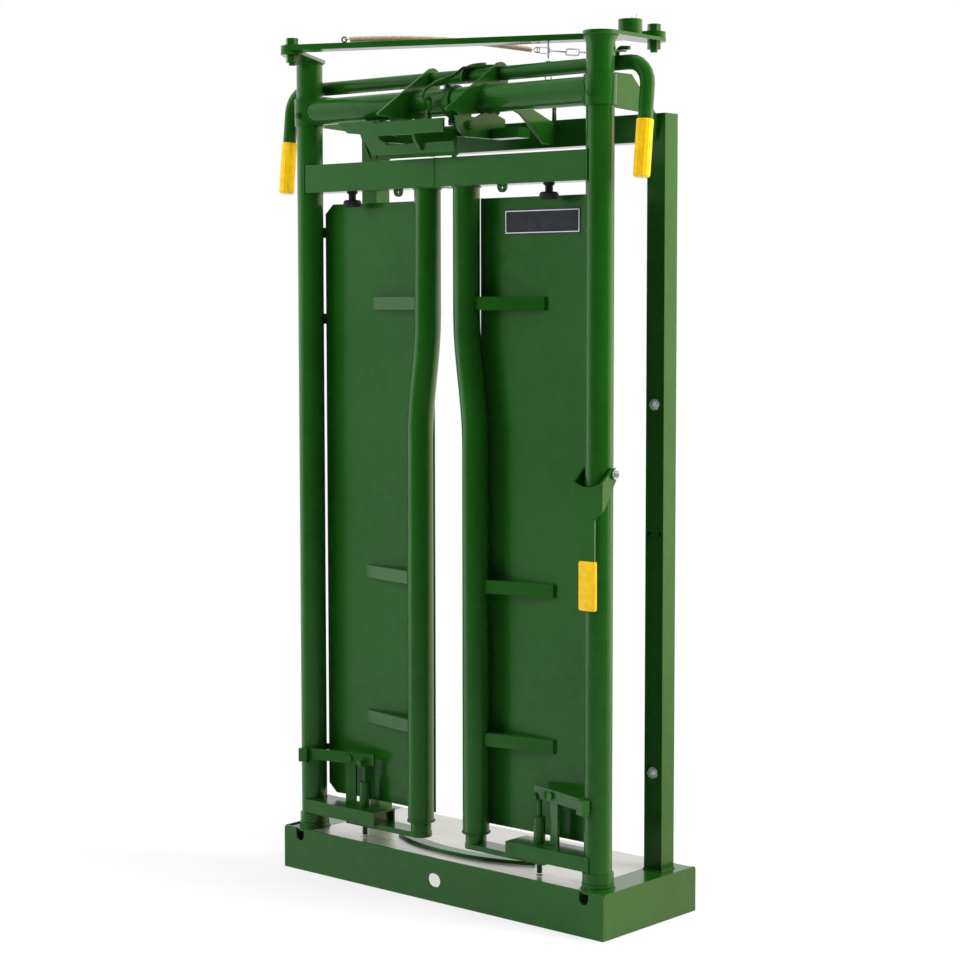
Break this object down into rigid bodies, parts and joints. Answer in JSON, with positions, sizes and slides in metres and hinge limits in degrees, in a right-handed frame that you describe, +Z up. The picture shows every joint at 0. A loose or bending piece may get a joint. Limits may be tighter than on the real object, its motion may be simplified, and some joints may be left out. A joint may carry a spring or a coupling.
{
  "type": "livestock headlock",
  "caption": "Standing self-locking headlock: two linked doors with neck bars swing on posts in a steel frame, with a release shaft, foot latches and a base pan.",
  "frame": {"origin": "on the ground, in the middle of the lower edge of the base's front wall", "axes": "+Z up, +X to the right seen from the front, +Y to the back, where the animal comes from"},
  "size_m": [1.0902, 0.4568, 1.9287],
  "materials": {
    "dark_green_paint": "gloss powder coat",
    "zinc_plate": "zinc plated",
    "bare_floor_plate": "bare sheet",
    "yellow_vinyl": "dipped vinyl",
    "black_rubber": "moulded",
    "spring_steel": "yellow zinc"
  },
  "bodies": {
    "frame": {"base_front_plate": "dark_green_paint", "base_rear_plate": "dark_green_paint", "base_side_left": "dark_green_paint", "base_side_right": "dark_green_paint", "floor_plate": "bare_floor_plate", "floor_track": "dark_green_paint", "post_socket_left": "dark_green_paint", "post_socket_right": "dark_green_paint", "post_collar_left": "dark_green_paint", "post_collar_right": "dark_green_paint", "cross_tube": "dark_green_paint", "rear_upright_left": "dark_green_paint", "rear_upright_right": "dark_green_paint", "rear_beam": "dark_green_paint", "side_gusset_left": "dark_green_paint", "side_gusset_right": "dark_green_paint", "center_brace": "dark_green_paint", "shaft_bracket_left": "dark_green_paint", "shaft_bracket_right": "dark_green_paint", "lock_housing": "dark_green_paint", "tube_clamp": "dark_green_paint"},
    "door_left": {"post_left": "dark_green_paint", "top_arm_left": "dark_green_paint", "neck_bar_left": "dark_green_paint", "door_sheet_left": "dark_green_paint", "sheet_strap_1_left": "dark_green_paint", "sheet_strap_2_left": "dark_green_paint", "sheet_strap_3_left": "dark_green_paint", "foot_channel_left": "dark_green_paint", "foot_bar_left": "dark_green_paint", "bumper_left": "black_rubber", "link_arm_left": "dark_green_paint", "latch_stand_left": "dark_green_paint", "link_bolt_left": "zinc_plate"},
    "door_right": {"post_right": "dark_green_paint", "top_arm_right": "dark_green_paint", "neck_bar_right": "dark_green_paint", "door_sheet_right": "dark_green_paint", "sheet_strap_1_right": "dark_green_paint", "sheet_strap_2_right": "dark_green_paint", "sheet_strap_3_right": "dark_green_paint", "foot_channel_right": "dark_green_paint", "foot_bar_right": "dark_green_paint", "bumper_right": "black_rubber", "link_arm_right": "dark_green_paint", "latch_stand_right": "dark_green_paint"},
    "link": {"link_bar": "dark_green_paint", "link_bolt_right": "zinc_plate", "return_spring": "spring_steel"},
    "shaft": {"release_shaft": "dark_green_paint", "grip_left": "yellow_vinyl", "grip_right": "yellow_vinyl"},
    "lock": {"lock_dog": "dark_green_paint", "keeper_link": "zinc_plate"},
    "lever": {"lever_yoke": "dark_green_paint", "lever_grip": "yellow_vinyl"},
    "rocker_left": {"latch_rocker_left": "dark_green_paint"},
    "rocker_right": {"latch_rocker_right": "dark_green_paint"},
    "pin_left": {"latch_pin_left": "zinc_plate"},
    "pin_right": {"latch_pin_right": "zinc_plate"}
  },
  "joints": [
    {"name": "door_right_hinge", "type": "hinge", "parent": "frame", "child": "door_right", "pos_m": [0.4293, 0.0465, 0.111], "axis": [0, 0, 1], "range_deg": [-25, 60]},
    {"name": "door_left_hinge", "type": "hinge", "parent": "frame", "child": "door_left", "pos_m": [-0.4293, 0.0465, 0.111], "axis": [0, 0, 1], "range_deg": [-60, 25]},
    {"name": "link_pivot", "type": "hinge", "parent": "door_left", "child": "link", "pos_m": [-0.32804, -0.10533, 1.9], "axis": [0, 0, 1], "range_deg": [-25, 60]},
    {"name": "shaft_turn", "type": "hinge", "parent": "frame", "child": "shaft", "pos_m": [0, 0.09775, 1.834], "axis": [1, 0, 0], "range_deg": [0, 8]},
    {"name": "dog_slide", "type": "slide", "parent": "frame", "child": "lock", "axis": [0, 0, 1], "range_m": [-0.0135, 0]},
    {"name": "lever_pivot", "type": "hinge", "parent": "door_right", "child": "lever", "pos_m": [0.4293, 0.0465, 0.981], "axis": [-1, 0, 0], "range_deg": [0, 60]},
    {"name": "rocker_left_pivot", "type": "hinge", "parent": "door_left", "child": "rocker_left", "pos_m": [-0.307, 0.04259, 0.2785], "axis": [0.2554, -0.9668, 0], "range_deg": [-4.5, 16]},
    {"name": "rocker_right_pivot", "type": "hinge", "parent": "door_right", "child": "rocker_right", "pos_m": [0.307, 0.04259, 0.2785], "axis": [0.2554, 0.9668, 0], "range_deg": [-4.5, 16]},
    {"name": "pin_left_slide", "type": "slide", "parent": "door_left", "child": "pin_left", "axis": [0, 0, 1], "range_m": [-0.0035, 0.0123]},
    {"name": "pin_right_slide", "type": "slide", "parent": "door_right", "child": "pin_right", "axis": [0, 0, 1], "range_m": [-0.0035, 0.0123]}
  ],
  "couplings": [
    {"joint": "door_left_hinge", "follows": "door_right_hinge", "ratio": -1},
    {"joint": "link_pivot", "follows": "door_right_hinge", "ratio": 0.98},
    {"joint": "dog_slide", "follows": "shaft_turn", "m_per_rad": -0.09659},
    {"joint": "pin_left_slide", "follows": "rocker_left_pivot", "m_per_rad": 0.04344},
    {"joint": "pin_right_slide", "follows": "rocker_right_pivot", "m_per_rad": 0.04344}
  ]
}
